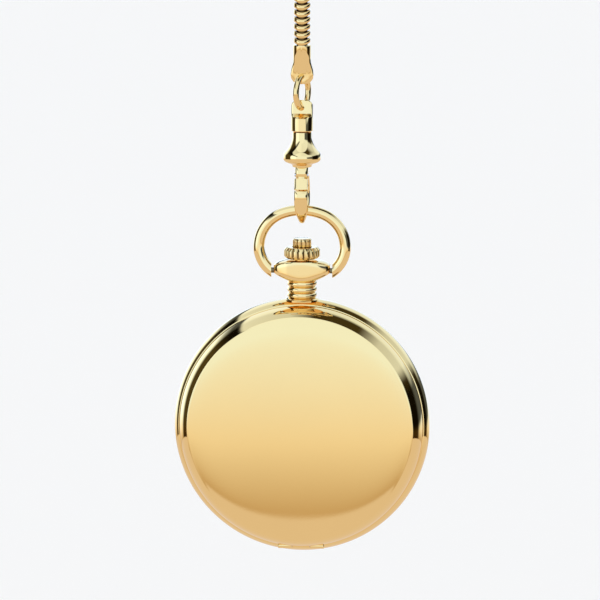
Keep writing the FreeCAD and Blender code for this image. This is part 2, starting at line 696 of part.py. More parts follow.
def toothed(radius, teeth, front, back, x, z, depth):
    """A wheel blank with pointed teeth, cut just inside its pitch radius."""
    out, points = size(radius).value - SHORT, []
    for step in range(2 * teeth + 1):
        reach = out if step % 2 else out - depth
        angle = math.pi * step / teeth
        points.append(Vector(reach * math.cos(angle), 0, reach * math.sin(angle)))
    solid = Part.Face(Part.makePolygon(points)).extrude(Vector(0, size(back).value - size(front).value, 0))
    thing = doc.addObject("Part::Feature", "Toothed")
    thing.Shape = solid
    return put(thing, at_case(x, front, z))


def spoked(blank, radius, front, back, x, z, count=5):
    """Opens a wheel's web, leaving spokes."""
    reach = size(radius).value
    holes = []
    for number in range(count):
        angle = 2 * math.pi * number / count
        holes.append(disc(reach * 0.27, size(front) - 0.1, size(back) + 0.1,
                          x + reach * 0.56 * math.cos(angle), z + reach * 0.56 * math.sin(angle)))
    return cut(blank, *holes)


def make_train_wheel(name):
    x, z, radius, teeth, front, back = TRAIN[name]
    depth = 0.75 if name == "escape_wheel" else 0.22
    rim = spoked(toothed(radius, teeth, front, back, x, z, depth), radius * 0.94, front, back, x, z)
    pinion_radius, leaves, low, high = PINIONS[name]
    parts = [rim, toothed(pinion_radius, leaves, low, high, x, z, 0.12),
             disc(mm.arbor_radius, mm.plate_back + 0.05, mm.bridge_front - 0.05, x, z),
             disc(mm.pivot_radius, mm.plate_back - 0.4, mm.bridge_front + 0.4, x, z)]
    if name == "center_wheel":
        parts.append(disc(mm.arbor_radius, -2.5, mm.plate_back + 0.1, x, z))
    if name == "fourth_wheel":
        parts.append(disc(0.15, -1.98, mm.plate_back + 0.1, x, z))
    return fuse(*parts)


def make_barrel():
    x, z, radius, teeth, front, back = TRAIN["barrel"]
    drum = cut(toothed(radius, teeth, front, back, x, z, 0.22), disc(6.3, 1.12, 1.73, x, z),
               disc(0.9, 0.5, 2.5, x, z))
    return drum


def spiral(x, z, level, start, step, turns, wide, thick):
    """A flat coil of half circles, each larger than the last."""
    edges, reach, centre, side = [], start, Vector(0, 0, 0), 1
    for half in range(2 * turns):
        a = centre + Vector(reach * side, 0, 0)
        top = centre + Vector(0, 0, reach * (1 if half % 2 == 0 else -1))
        b = centre - Vector(reach * side, 0, 0)
        edges.append(Part.Arc(a, top, b).toShape())
        centre = centre + Vector(step / 2 * side, 0, 0)
        reach, side = reach + step / 2, -side
    low = Vector(start - thick / 2, -wide / 2, 0)
    corners = [low, low + Vector(thick, 0, 0), low + Vector(thick, wide, 0), low + Vector(0, wide, 0), low]
    thing = doc.addObject("Part::Feature", "Spiral")
    thing.Shape = Part.Wire(edges).makePipeShell([Part.makePolygon(corners)], True, False)
    return put(thing, at_case(x, level, z))


def hand(length, width, hub, front, back, pipe, turn, x=0, z=0, tail=0):
    """A tapered hand with a round hub, turned clockwise as seen from the front."""
    wide = size(width) * 0.5
    blade = slab([(-wide, -tail), (wide, -tail), (wide * 1.6, length * 0.62), (0, length),
                  (wide * -1.6, length * 0.62)], "XZ_Plane", size(back) - front,
                 at_case(x, (size(back) + front) * 0.5, z), Rotation(Vector(0, 1, 0), turn))
    return cut(fuse(blade, disc(hub, front, back, x, z)), disc(pipe, -4, 1, x, z))


def make_dial():
    return cut(disc(mm.dial_radius, mm.dial_front, mm.dial_back), disc(0.85, -3, 0),
               disc(0.3, -3, 0, 0, -mm.seconds_drop.value))


def make_cannon_pinion():
    return cut(fuse(disc(0.45, -2.5, -0.62), toothed(0.75, 10, -0.95, -0.62, 0, 0, 0.15)),
               disc(mm.arbor_radius, -3, 0))


def make_hour_wheel():
    wheel = fuse(toothed(2.4, 32, -1.25, -1.05, 0, 0, 0.2), disc(0.75, -2.2, -1.05))
    return cut(wheel, disc(0.5, -3, 0))


def make_minute_wheel():
    x, z = MINUTE_WHEEL
    parts = [toothed(2.25, 30, -0.9, -0.68, x, z, 0.2), toothed(0.6, 8, -1.25, -0.85, x, z, 0.15)]
    return cut(fuse(*parts), disc(0.24, -3, 0, x, z))


piece(make_dial(), "dial")
piece(hand(10.2, 1.0, 1.2, -2.2, -2.06, 0.75, 305), "hour_hand")
piece(hand(15.6, 0.8, 1.0, -2.5, -2.38, 0.45, 60), "minute_hand")
piece(hand(3.4, 0.24, 0.45, -1.98, -1.88, 0.15, 200, 0, -8.5, 1.1), "second_hand")
piece(make_cannon_pinion(), "cannon_pinion")
piece(make_hour_wheel(), "hour_wheel")
piece(make_minute_wheel(), "minute_wheel")


# ---------------------------------------------------------------- movement

def axles():
    """The places of everything that turns between the plate and the bridges."""
    return [TRAIN[name][:2] for name in PINIONS] + [PALLET, BALANCE]


def make_plate():
    front, back = mm.plate_front, mm.plate_back
    plate = fuse(disc(mm.plate_radius, front, back), disc(0.2, -1.25, back, *MINUTE_WHEEL),
                 disc(0.85, back, mm.bridge_front, *TRAIN["barrel"][:2]))
    holes = [disc(mm.jewel_hole, back - 0.45, 3, x, z) for x, z in axles()]
    holes += [disc(0.3, -3, 3), disc(0.2, -3, 3, 0, -mm.seconds_drop.value),
              disc(2.75, front - 1, -0.5), disc(2.6, front - 1, -0.5, *MINUTE_WHEEL),
              block(at_case(-0.85, -3, 8.8), at_case(0.85, 3, 19)),
              block(at_case(-1.35, -3, 14.0), at_case(1.35, 3, 19)),
              block(at_case(0, -3, 12.2), at_case(4.0, 0.1, 15.4))]
    post = disc(0.2, -1.25, -0.4, *MINUTE_WHEEL)
    return fuse(cut(plate, *holes), post)


def make_movement_ring():
    ring = turned([(mm.ring_inner, -1.2), (mm.band_bore, -1.2), (mm.band_bore, 0.5),
                   (mm.ring_inner, 0.5)], "Y", at_case(0, 0, 0))
    return cut(ring, block(at_case(-1.5, -3, 15), at_case(1.5, 3, 22)))


def make_bridge(outline, feet, near):
    """A bridge over the train: a flat slab on round feet, drilled for the pivots near it."""
    low, high = mm.bridge_front, mm.bridge_back
    bridge = common(slab(outline, "XZ_Plane", high - low, at_case(0, (low + high) * 0.5, 0)),
                    disc(17.3, 0, 5))
    posts = [disc(0.9, mm.plate_back, low, x, z) for x, z in feet]
    holes = [disc(mm.jewel_radius, 1, 4, x, z) for x, z in near]
    return cut(fuse(bridge, *posts), *holes) if holes else fuse(bridge, *posts)


def make_setting_lever():
    nose = block(at_case(0.45, -0.25, 12.98), at_case(3.2, 0.05, 13.32))
    return cut(fuse(nose, block(at_case(2.0, -0.9, 12.4), at_case(3.6, 0.05, 13.7))),
               disc(0.3, -3, 3, 2.8, 13.05))


def make_balance():
    x, z = BALANCE
    rim = cut(disc(4.6, 1.45, 1.7, x, z), disc(3.9, 1, 2, x, z))
    arms = [block(at_case(x - 4.2, 1.5, z - 0.3), at_case(x + 4.2, 1.65, z + 0.3))]
    screws = []
    for number in range(12):
        angle = math.pi * (number + 0.5) / 6
        screws.append(ball(0.24, at_case(x + 4.45 * math.cos(angle), 1.575, z + 4.45 * math.sin(angle))))
    staff = [disc(mm.arbor_radius, mm.plate_back + 0.05, mm.bridge_front - 0.05, x, z),
             disc(mm.pivot_radius, mm.plate_back - 0.4, mm.bridge_front + 0.4, x, z)]
    return fuse(rim, *arms, *screws, *staff)


def make_pallet_fork():
    x, z = PALLET
    anchor = slab([(-1.5, 0.5), (-1.8, 1.9), (-1.4, 1.9), (-0.9, 0.6), (0.9, 0.6), (1.4, 1.9),
                   (1.8, 1.9), (1.5, 0.5), (0.35, -0.1), (0.2, -2.6), (-0.2, -2.6), (-0.35, -0.1)],
                  "XZ_Plane", 0.12, at_case(x, 0.92, z), Rotation(Vector(0, 1, 0), 120))
    return fuse(anchor, disc(mm.arbor_radius, mm.plate_back + 0.05, 1.35, x, z),
                disc(mm.pivot_radius, mm.plate_back - 0.4, 1.35, x, z))


def make_upper_wheel(radius, teeth, x, z):
    return cut(toothed(radius, teeth, mm.click_front, mm.click_back, x, z, 0.35), disc(0.7, 2, 4, x, z))


SCREWS = [(-14.6, 8.4), (-4.2, 15.3), (13.6, 8.9), (15.9, -4.2), (9.0, -13.9), (1.6, -16.0),
          (-5.2, -15.2), (-15.2, -6.2)]


def make_screws():
    heads = [disc(0.75, mm.bridge_back, mm.bridge_back + 0.35, x, z) for x, z in SCREWS]
    centres = [disc(0.7, mm.bridge_back, mm.click_back, x, z)
               for x, z in (CROWN_WHEEL, TRAIN["barrel"][:2])]
    slots = [block(at_case(x - 1, mm.bridge_back + 0.2, z - 0.1), at_case(x + 1, 4, z + 0.1)) for x, z in SCREWS]
    return cut(fuse(*heads, *centres), *slots)


def make_jewels():
    return fuse(*[cut(disc(mm.jewel_radius, mm.bridge_front + 0.1, mm.bridge_back - 0.1, x, z),
                      disc(mm.jewel_hole, 1, 4, x, z)) for x, z in axles() if (x, z) != PALLET])


piece(make_plate(), "main_plate")
piece(make_movement_ring(), "movement_ring")
piece(make_barrel(), "barrel")
piece(spiral(*TRAIN["barrel"][:2], 1.42, 1.2, 0.75, 6, 0.4, 0.18), "mainspring")
for name in PINIONS:
    piece(make_train_wheel(name), name)
piece(make_pallet_fork(), "pallet_fork")
piece(make_balance(), "balance_wheel")
piece(spiral(*BALANCE, 1.82, 0.4, 0.3, 7, 0.12, 0.06), "hairspring")
piece(make_bridge([(-17.5, -1.6), (17.5, -1.6), (17.5, 17.5), (-17.5, 17.5)],
                  [(-14.6, 8.4), (-4.2, 15.3), (13.6, 8.9)], [(0.0, 0.0)]), "barrel_bridge")
piece(make_bridge([(-6.2, -17.5), (17.5, -17.5), (17.5, -1.8), (-3.6, -1.8), (-3.6, -7.2)],
                  [(15.9, -4.2), (9.0, -13.9), (1.6, -16.0)],
                  [TRAIN[n][:2] for n in ("third_wheel", "fourth_wheel", "escape_wheel")]), "train_bridge")
piece(make_bridge([(-17.5, -9.6), (-9.9, -9.0), (-8.6, -6.3), (-10.2, -5.4), (-17.5, -4.8)],
                  [(-15.2, -6.2)], [BALANCE]), "balance_cock")
piece(make_setting_lever(), "setting_lever")
piece(make_upper_wheel(5.8, 60, *TRAIN["barrel"][:2]), "ratchet_wheel")
piece(make_upper_wheel(3.0, 31, *CROWN_WHEEL), "crown_wheel")
piece(fuse(disc(0.6, mm.click_front, mm.click_back, 2.2, 5.2),
           block(at_case(-0.12, mm.click_front, 5.0), at_case(2.2, mm.click_back, 5.4))), "click")
piece(make_screws(), "movement_screws")
piece(make_jewels(), "jewels")


# ---------------------------------------------------------------- writing the pieces

def write_pieces():
    doc.recompute()
    failed = [thing for thing in doc.Objects if {"Invalid", "Error"} & set(thing.State)]
    for thing in failed:
        print("failed:", thing.Name, thing.Label, "used by", [user.Label for user in thing.InListRecursive],
              [part.Label for part in thing.OutList][:6])
    if failed:
        raise RuntimeError(f"{len(failed)} objects failed")
    os.makedirs("parts", exist_ok=True)
    for thing in pieces:
        if thing.Shape.isNull() or not thing.Shape.isValid() or thing.Shape.Volume <= 0:
            raise RuntimeError(f"{thing.Label} has no valid shape")
        thing.Shape.exportStep(f"parts/{thing.Label}.step")
        print(f"{thing.Label:22s} solids {len(thing.Shape.Solids)} volume {thing.Shape.Volume:9.3f}")
    print("case middle at z", round(case_z.value, 3), "pieces", len(pieces))


write_pieces()
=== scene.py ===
import json
import math

import bmesh
import bpy
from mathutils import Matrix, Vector


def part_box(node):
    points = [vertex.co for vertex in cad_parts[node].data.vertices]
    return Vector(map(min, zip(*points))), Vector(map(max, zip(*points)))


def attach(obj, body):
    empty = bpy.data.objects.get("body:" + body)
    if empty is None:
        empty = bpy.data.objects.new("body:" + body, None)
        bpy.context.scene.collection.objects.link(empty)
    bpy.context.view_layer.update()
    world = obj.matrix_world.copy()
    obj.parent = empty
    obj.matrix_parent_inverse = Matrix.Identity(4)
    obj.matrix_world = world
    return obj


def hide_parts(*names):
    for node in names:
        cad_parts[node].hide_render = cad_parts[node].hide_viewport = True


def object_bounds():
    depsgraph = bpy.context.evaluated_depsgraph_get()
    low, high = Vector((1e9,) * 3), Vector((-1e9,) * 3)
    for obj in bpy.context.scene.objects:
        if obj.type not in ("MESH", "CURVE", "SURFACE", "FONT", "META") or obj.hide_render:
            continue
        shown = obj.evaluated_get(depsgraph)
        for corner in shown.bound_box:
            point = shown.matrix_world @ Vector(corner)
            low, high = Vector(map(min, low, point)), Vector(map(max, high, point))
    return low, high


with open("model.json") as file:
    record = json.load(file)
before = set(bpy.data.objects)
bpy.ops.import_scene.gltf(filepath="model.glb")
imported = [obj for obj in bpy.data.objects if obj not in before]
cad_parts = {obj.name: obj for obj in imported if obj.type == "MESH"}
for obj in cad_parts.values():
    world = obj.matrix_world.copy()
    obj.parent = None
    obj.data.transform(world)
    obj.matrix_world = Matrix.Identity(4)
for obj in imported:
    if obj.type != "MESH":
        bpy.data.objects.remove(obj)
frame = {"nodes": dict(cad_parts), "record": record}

cad_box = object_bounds()
TAU = 2 * math.pi
MM = 0.001
TINY = 1e-6


def middle(node):
    low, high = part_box(node)
    return (low + high) / 2


# Pieces are drawn about one of these: the case's middle, or the top of the swivel's bell.
CASE = Vector((0, 0, middle("crystal").z))
BELL = Vector((0, 0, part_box("swivel_hook")[1].z))


# ---------------------------------------------------------------- materials

CLOUD_SCALE, GRAIN_SCALE = 90, 2600
GRAIN_DEPTH, STRIPE_DEPTH = 0.00002, 0.0001
# At a scale of one, a wave pattern repeats after this length.
WAVE_PERIOD = 0.314
# Painted shade: the dark brown and the strength with which hollows of the crown, button and chain
# are darkened.
HOLLOW_SHADE, HOLLOW_SHADE_COVER = (0.14, 0.07, 0.015), 0.95


def material(name, color, rough, metal=1.0, scratch=0.0, vary=0.04, coat=0.0, trans=0.0,
             ior=1.5, alpha=1.0):
    """A surface with fine roughness and colour variation and light wear in its bump."""
    mat = bpy.data.materials.new(name)
    mat.use_nodes = True
    nodes, links = mat.node_tree.nodes, mat.node_tree.links
    bsdf = nodes["Principled BSDF"]
    for socket, value in (("Metallic", metal), ("IOR", ior), ("Coat Weight", coat),
                          ("Transmission Weight", trans), ("Alpha", alpha)):
        bsdf.inputs[socket].default_value = value
    place = nodes.new("ShaderNodeTexCoord")
    cloud = nodes.new("ShaderNodeTexNoise")
    cloud.inputs["Scale"].default_value = CLOUD_SCALE
    cloud.inputs["Detail"].default_value = 4
    links.new(place.outputs["Object"], cloud.inputs["Vector"])
    tint = nodes.new("ShaderNodeMix")
    tint.data_type = "RGBA"
    tint.inputs["A"].default_value = (*color, 1)
    tint.inputs["B"].default_value = (*[c * (1 - vary) for c in color], 1)
    links.new(cloud.outputs["Fac"], tint.inputs["Factor"])
    links.new(tint.outputs["Result"], bsdf.inputs["Base Color"])
    spread = nodes.new("ShaderNodeMapRange")
    spread.inputs["To Min"].default_value = rough * 0.8
    spread.inputs["To Max"].default_value = rough * 1.25
    links.new(cloud.outputs["Fac"], spread.inputs["Value"])
    links.new(spread.outputs["Result"], bsdf.inputs["Roughness"])
    if scratch:
        grain = nodes.new("ShaderNodeTexNoise")
        grain.inputs["Scale"].default_value = GRAIN_SCALE
        grain.inputs["Detail"].default_value = 3
        links.new(place.outputs["Object"], grain.inputs["Vector"])
        bump = nodes.new("ShaderNodeBump")
        bump.inputs["Strength"].default_value = scratch
        bump.inputs["Distance"].default_value = GRAIN_DEPTH
        links.new(grain.outputs["Fac"], bump.inputs["Height"])
        links.new(bump.outputs["Normal"], bsdf.inputs["Normal"])
    return mat


def striped(mat, width, strength):
    """Adds the parallel waves of a finished movement bridge to the surface's bump."""
    nodes, links = mat.node_tree.nodes, mat.node_tree.links
    place = nodes.new("ShaderNodeTexCoord")
    turn = nodes.new("ShaderNodeMapping")
    turn.inputs["Rotation"].default_value = (0, math.radians(45), 0)
    wave = nodes.new("ShaderNodeTexWave")
    wave.inputs["Scale"].default_value = WAVE_PERIOD / width
    wave.wave_profile = "SAW"
    bump = nodes.new("ShaderNodeBump")
    bump.inputs["Strength"].default_value = strength
    bump.inputs["Distance"].default_value = STRIPE_DEPTH
    links.new(place.outputs["Object"], turn.inputs["Vector"])
    links.new(turn.outputs["Vector"], wave.inputs["Vector"])
    links.new(wave.outputs["Fac"], bump.inputs["Height"])
    links.new(bump.outputs["Normal"], nodes["Principled BSDF"].inputs["Normal"])
    return mat


def painted_hollow_shade(mat, near, far=None, flutes=0):
    """Paints shade into hollows by darkening the colour there, with radii in metres.

    Without flutes, all that lies within near is painted dark, and the painted shade fades out at
    far. With flutes, the bottoms of the flutes that lie beyond near are painted dark.
    """
    nodes, links = mat.node_tree.nodes, mat.node_tree.links

    def worked_out(how, a, b=None):
        node = nodes.new("ShaderNodeMath")
        node.operation = how
        for socket, value in zip(node.inputs, (a, b)):
            if isinstance(value, (int, float)):
                socket.default_value = value
            elif value:
                links.new(value, socket)
        return node.outputs[0]

    place = nodes.new("ShaderNodeTexCoord")
    split = nodes.new("ShaderNodeSeparateXYZ")
    links.new(place.outputs["Object"], split.inputs[0])
    x, y = split.outputs["X"], split.outputs["Y"]
    squares = worked_out("ADD", worked_out("MULTIPLY", x, x), worked_out("MULTIPLY", y, y))
    radius = worked_out("SQRT", squares)
    if flutes:
        angle = worked_out("MULTIPLY", worked_out("ARCTAN2", y, x), flutes / 2)
        height = worked_out("ABSOLUTE", worked_out("SINE", angle))
        bottoms = worked_out("POWER", worked_out("SUBTRACT", 1.0, height), 1.6)
        shade_mask = worked_out("MULTIPLY", bottoms, worked_out("GREATER_THAN", radius, near))
    else:
        fade = nodes.new("ShaderNodeMapRange")
        for socket, value in (("From Min", near), ("From Max", far), ("To Min", 1), ("To Max", 0)):
            fade.inputs[socket].default_value = value
        links.new(radius, fade.inputs["Value"])
        shade_mask = fade.outputs["Result"]
    # Painted shade: the base colour is mixed toward the dark brown in the hollows.
    color = nodes["Principled BSDF"].inputs["Base Color"]
    mix = nodes.new("ShaderNodeMix")
    mix.data_type = "RGBA"
    links.new(worked_out("MULTIPLY", shade_mask, HOLLOW_SHADE_COVER), mix.inputs["Factor"])
    links.new(color.links[0].from_socket, mix.inputs["A"])
    mix.inputs["B"].default_value = (*HOLLOW_SHADE, 1)
    links.new(mix.outputs["Result"], color)
    return mat


CROWN_FLUTES, BUTTON_FLUTES = 18, 12
GOLD = material("gold_polished", (0.93, 0.66, 0.29), 0.035, scratch=0.02)
GOLD_TRIM = material("gold_trim", (0.92, 0.63, 0.26), 0.10, scratch=0.08, vary=0.08)
# The crown and button get painted shade in the bottoms of their flutes, and the chain gets painted
# shade in its inner hollow.
CROWN_GOLD = painted_hollow_shade(material("gold_crown", (0.92, 0.64, 0.27), 0.06, scratch=0.03),
                    0.0027, flutes=CROWN_FLUTES)
BUTTON_GOLD = painted_hollow_shade(material("gold_button", (0.92, 0.64, 0.27), 0.06, scratch=0.03),
                     0.0014, flutes=BUTTON_FLUTES)
CHAIN_GOLD = painted_hollow_shade(material("gold_chain", (0.90, 0.60, 0.24), 0.10, scratch=0.08, vary=0.08),
                    0.00114, 0.00146)
STEEL = material("steel_polished", (0.60, 0.61, 0.63), 0.18, scratch=0.1)
BLUED = material("steel_blued", (0.03, 0.06, 0.28), 0.22, scratch=0.05)
NICKEL = striped(material("nickel_striped", (0.77, 0.69, 0.60), 0.24), 0.0016, 0.9)
BRASS = material("brass_wheel", (0.78, 0.57, 0.24), 0.2, scratch=0.12)
ENAMEL = material("dial_enamel", (0.86, 0.85, 0.80), 0.16, metal=0.0, vary=0.03, coat=0.6)
INK = material("dial_ink", (0.012, 0.012, 0.014), 0.4, metal=0.0)
RUBY = material("ruby", (0.55, 0.01, 0.06), 0.06, metal=0.0, coat=1.0, trans=0.35, ior=1.76)
GLASS = material("crystal_glass", (0.97, 0.98, 0.98), 0.01, metal=0.0, vary=0.0, trans=1.0,
                 ior=1.45, alpha=0.35)
PIN = material("pin_dark", (0.20, 0.15, 0.08), 0.3, scratch=0.1)

SURFACES = {"gold": GOLD, "crystal": GLASS, "dial": ENAMEL, "steel": STEEL, "blued": BLUED,
            "nickel": NICKEL, "brass": BRASS, "ruby": RUBY}
SLOT_OF = {part["node"]: part["material_slot"] for part in frame["record"]["subparts"]}
BODY_OF = {node: body for body, members in frame["record"]["behaviour"]["bodies"].items()
           for node in members}
for node, thing in frame["nodes"].items():
    thing.data.materials.clear()
    thing.data.materials.append(PIN if node.startswith("bow_pin") else SURFACES[SLOT_OF[node]])


# ---------------------------------------------------------------- outlines, in millimetres

CORNER_STEPS = 6


def rounded(profile):
    """Rounds each corner (u, v, r) of a closed outline with an arc of radius r."""
    out = []
    for i, corner in enumerate(profile):
        here = Vector(corner[:2])
        if len(corner) < 3:
            out.append(here)
            continue
        a = Vector(profile[i - 1][:2]) - here
        b = Vector(profile[(i + 1) % len(profile)][:2]) - here
        turn = a.angle(b, math.pi)
        back = min(corner[2] / math.tan(turn / 2), a.length * 0.48, b.length * 0.48)
        p, q = here + a.normalized() * back, here + b.normalized() * back
        for step in range(CORNER_STEPS + 1):
            k = step / CORNER_STEPS
            out.append(p * (1 - k) ** 2 + here * 2 * k * (1 - k) + q * k * k)
    return out


def arc(a, b, bulge, steps):
    """Points from a to b along an arc that bulges to the right of the way it goes."""
    a, b = Vector(a), Vector(b)
    half = (b - a).length / 2
    radius = (half * half + bulge * bulge) / (2 * bulge)
    side = Vector(((b - a).y, -(b - a).x)).normalized()
    centre = (a + b) / 2 + side * (bulge - radius)
    first = math.atan2((a - centre).y, (a - centre).x)
    span = (math.atan2((b - centre).y, (b - centre).x) - first + math.pi) % TAU - math.pi
    turns = [first + span * i / steps for i in range(steps + 1)]
    return [centre + Vector((math.cos(t), math.sin(t))) * radius for t in turns]


def oval(a, b, z, power=2.0, sides=72):
    """A level outline with half widths a and b: an ellipse at power 2, squarer above it."""
    out = []
    for s in range(sides):
        c, d = math.cos(TAU * s / sides), math.sin(TAU * s / sides)
        out.append((a * abs(c) ** (2 / power) * (1 if c > 0 else -1),
                    b * abs(d) ** (2 / power) * (1 if d > 0 else -1), z))
    return out


def smooth(points, cuts):
    """A curve through points, with cuts steps between each pair."""
    out = []
    last = len(points) - 1
    for i in range(last):
        a, b = points[max(0, i - 1)], points[i]
        c, d = points[i + 1], points[min(last, i + 2)]
        for k in range(cuts):
            s = k / cuts
            out.append(b + (c - a) * 0.5 * s + (a * 2 - b * 5 + c * 4 - d) * 0.5 * s * s
                       + (b * 3 - a - c * 3 + d) * 0.5 * s ** 3)
    return out + [points[-1]]


# ---------------------------------------------------------------- solids, in millimetres

def lathe(profile, axis="Z", seg=160, radial=None):
    """Verts and faces of a profile (radius, height) turned about Z or Y."""
    verts, faces, rows = [], [], []
    for r, level in profile:
        if r < TINY:
            rows.append([len(verts)])
            verts.append((0, level, 0) if axis == "Y" else (0, 0, level))
            continue
        row = []
        for s in range(seg):
            t = TAU * s / seg
            reach = r * (radial(t, level) if radial else 1)
            x, y = reach * math.cos(t), reach * math.sin(t)
            row.append(len(verts))
            verts.append((x, level, y) if axis == "Y" else (x, y, level))
        rows.append(row)
    for a, b in zip(rows, rows[1:] + rows[:1]):
        for s in range(seg):
            n = (s + 1) % seg
            corners = [a[s % len(a)], a[n % len(a)], b[n % len(b)], b[s % len(b)]]
            corners = list(dict.fromkeys(corners))
            if len(corners) > 2:
                faces.append(corners)
    return verts, faces


def cylinder(radius, start, end, inner=0.0, axis="Z", seg=48):
    """A plain rod, or a tube where it has an inner radius."""
    return lathe([(inner, start), (radius, start), (radius, end), (inner, end)], axis, seg)


def tube(path, radius, sides=28, closed=False):
    """A round wire along a path; radius is a number or a function of the share of its length."""
    count = len(path)
    verts, faces = [], []
    normal = None
    for i, p in enumerate(path):
        before = path[i - 1] if (i or closed) else path[0]
        after = path[(i + 1) % count] if (i < count - 1 or closed) else path[-1]
        along = (after - before).normalized()
        if normal is None:
            normal = along.orthogonal().normalized()
        normal = (normal - along * normal.dot(along)).normalized()
        other = along.cross(normal)
        r = radius(i / (count - 1)) if callable(radius) else radius
        for s in range(sides):
            t = TAU * s / sides
            verts.append(p + normal * (r * math.cos(t)) + other * (r * math.sin(t)))
    for i in range(count if closed else count - 1):
        j = (i + 1) % count
        for s in range(sides):
            n = (s + 1) % sides
            faces.append([i * sides + s, i * sides + n, j * sides + n, j * sides + s])
    if not closed:
        faces.append(list(range(sides))[::-1])
        faces.append([(count - 1) * sides + s for s in range(sides)])
    return verts, faces


def loft(sections):
    """A solid through closed sections of equal length, with both ends capped."""
    size = len(sections[0])
    verts = [Vector(v) for section in sections for v in section]
    faces = []
    for i in range(len(sections) - 1):
        for s in range(size):
            n = (s + 1) % size
            faces.append([i * size + s, i * size + n, (i + 1) * size + n, (i + 1) * size + s])
    faces.append(list(range(size))[::-1])
    faces.append([(len(sections) - 1) * size + s for s in range(size)])
    return verts, faces


def plate_x(outline, half_width, round_off):
    """A flat outline in Y and Z with a width along X, its edges rounded."""
    count = len(outline)
    normals = []
    for i in range(count):
        along = (outline[(i + 1) % count] - outline[i - 1]).normalized()
        normals.append(Vector((along.y, -along.x)))
    area = sum(a.x * b.y - b.x * a.y for a, b in zip(outline, outline[1:] + outline[:1]))
    sign = 1 if area > 0 else -1
    # where the outline is narrow, the rounding is kept shallow enough to leave it whole
    reach = []
    for p, n in zip(outline, normals):
        across = [(q - p).length for q in outline
                  if (q - p).dot(n) * -sign > 0.7 * (q - p).length > 0]
        reach.append(min(round_off, 0.4 * min(across, default=9)))
    reach = [(reach[i - 1] + reach[i] + reach[(i + 1) % count]) / 3 for i in range(count)]
    sections = []
    for degrees in range(-90, 91, 9):
        share, inset = math.sin(math.radians(degrees)), 1 - math.cos(math.radians(degrees))
        edge = [p - n * (sign * inset * deep) for p, n, deep in zip(outline, normals, reach)]
        sections.append([(share * half_width, q.x, q.y) for q in edge])
    return loft(sections)


def laid_along_x(part, y, z):
    """Lays a solid that stands on Z along X instead."""
    return [Vector((v[2], v[1] + y, v[0] + z)) for v in part[0]], part[1]


def joined(*parts):
    """Several solids as one."""
    verts, faces = [], []
    for v, f in parts:
        base = len(verts)
        verts += [Vector(p) for p in v]
        faces += [[base + i for i in face] for face in f]
    return verts, faces


# ---------------------------------------------------------------- pieces

WELD = 1e-7
SHARP, SOFT_SHARP, FLUTE_SHARP = 32, 38, 50


def finish_piece(name, verts, faces, mat, node=None, body=None, slot="gold", sharp=SHARP,
                 at=(0, 0, 0)):
    """Makes a smooth-shaded piece, in place of a CAD node or riding on a body."""
    mesh = bpy.data.meshes.new(name)
    mesh.from_pydata([(Vector(v) * MM + Vector(at)) for v in verts], [], faces)
    tool = bmesh.new()
    tool.from_mesh(mesh)
    bmesh.ops.remove_doubles(tool, verts=tool.verts, dist=WELD)
    bmesh.ops.recalc_face_normals(tool, faces=tool.faces)
    tool.to_mesh(mesh)
    tool.free()
    mesh.shade_smooth()
    mesh.set_sharp_from_angle(angle=math.radians(sharp))
    mesh.materials.append(mat)
    thing = bpy.data.objects.new(name, mesh)
    bpy.context.scene.collection.objects.link(thing)
    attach(thing, body or BODY_OF[node])
    if node:
        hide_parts(node)
    return thing


def cut_away(thing, at, *solids):
    """Takes solids out of a piece."""
    for verts, faces in solids:
        mesh = bpy.data.meshes.new("tool")
        mesh.from_pydata([Vector(v) * MM + Vector(at) for v in verts], [], faces)
        other = bpy.data.objects.new("tool", mesh)
        bpy.context.scene.collection.objects.link(other)
        modifier = thing.modifiers.new("cut", "BOOLEAN")
        modifier.operation, modifier.object, modifier.solver = "DIFFERENCE", other, "EXACT"
        bpy.context.view_layer.update()
        evaluated = thing.evaluated_get(bpy.context.evaluated_depsgraph_get())
        whole = bpy.data.meshes.new_from_object(evaluated)
        thing.modifiers.remove(modifier)
        thing.data = whole
        bpy.data.objects.remove(other)
    thing.data.shade_smooth()
    thing.data.set_sharp_from_angle(angle=math.radians(SHARP))


# ---------------------------------------------------------------- case

HINGE_Y, HINGE_Z = 2.35, -22.3
KNUCKLE, KNUCKLE_BEVEL, NOTCH = 0.5, 0.06, 0.58
LID_KNUCKLE, CASE_KNUCKLE, KNUCKLES_END, NOTCH_END = 1.6, 1.68, 4.2, 4.28
LID_TOP, LID_WALL = 6.1, 0.45
LID_EDGE, LID_SIDE, LID_FOOT = 20.75, 4.5, 6.2
LID_LIP = [(22.47, 2.44), (22.44, 2.38), (22.38, 2.36), (22.05, 2.36)]
LID_INSIDE = [(22.05, 2.6), (21.9, 3.2), (21.6, 3.9), (21.17, 4.5), (20.5, 5.2)]
BAND_RADIUS, BAND_HALF, BAND_BULGE, BAND_BORE = 22.62, 2.28, 0.87, 20.9
ROUND = 256


def knuckle(y, start, end):
    inset = KNUCKLE - KNUCKLE_BEVEL
    return laid_along_x(lathe([(0, start), (inset, start), (KNUCKLE, start + KNUCKLE_BEVEL),
                               (KNUCKLE, end - KNUCKLE_BEVEL), (inset, end), (0, end)], seg=48),
                        y, HINGE_Z)


def notch(y, start, end):
    return laid_along_x(cylinder(NOTCH, start, end), y, HINGE_Z)


def lid_drop(r):
    """How far the dome has fallen at a radius: almost flat, and a little steeper near its edge."""
    return 0.00084 * r * r + 0.0563 * (r / 20.6) ** 15


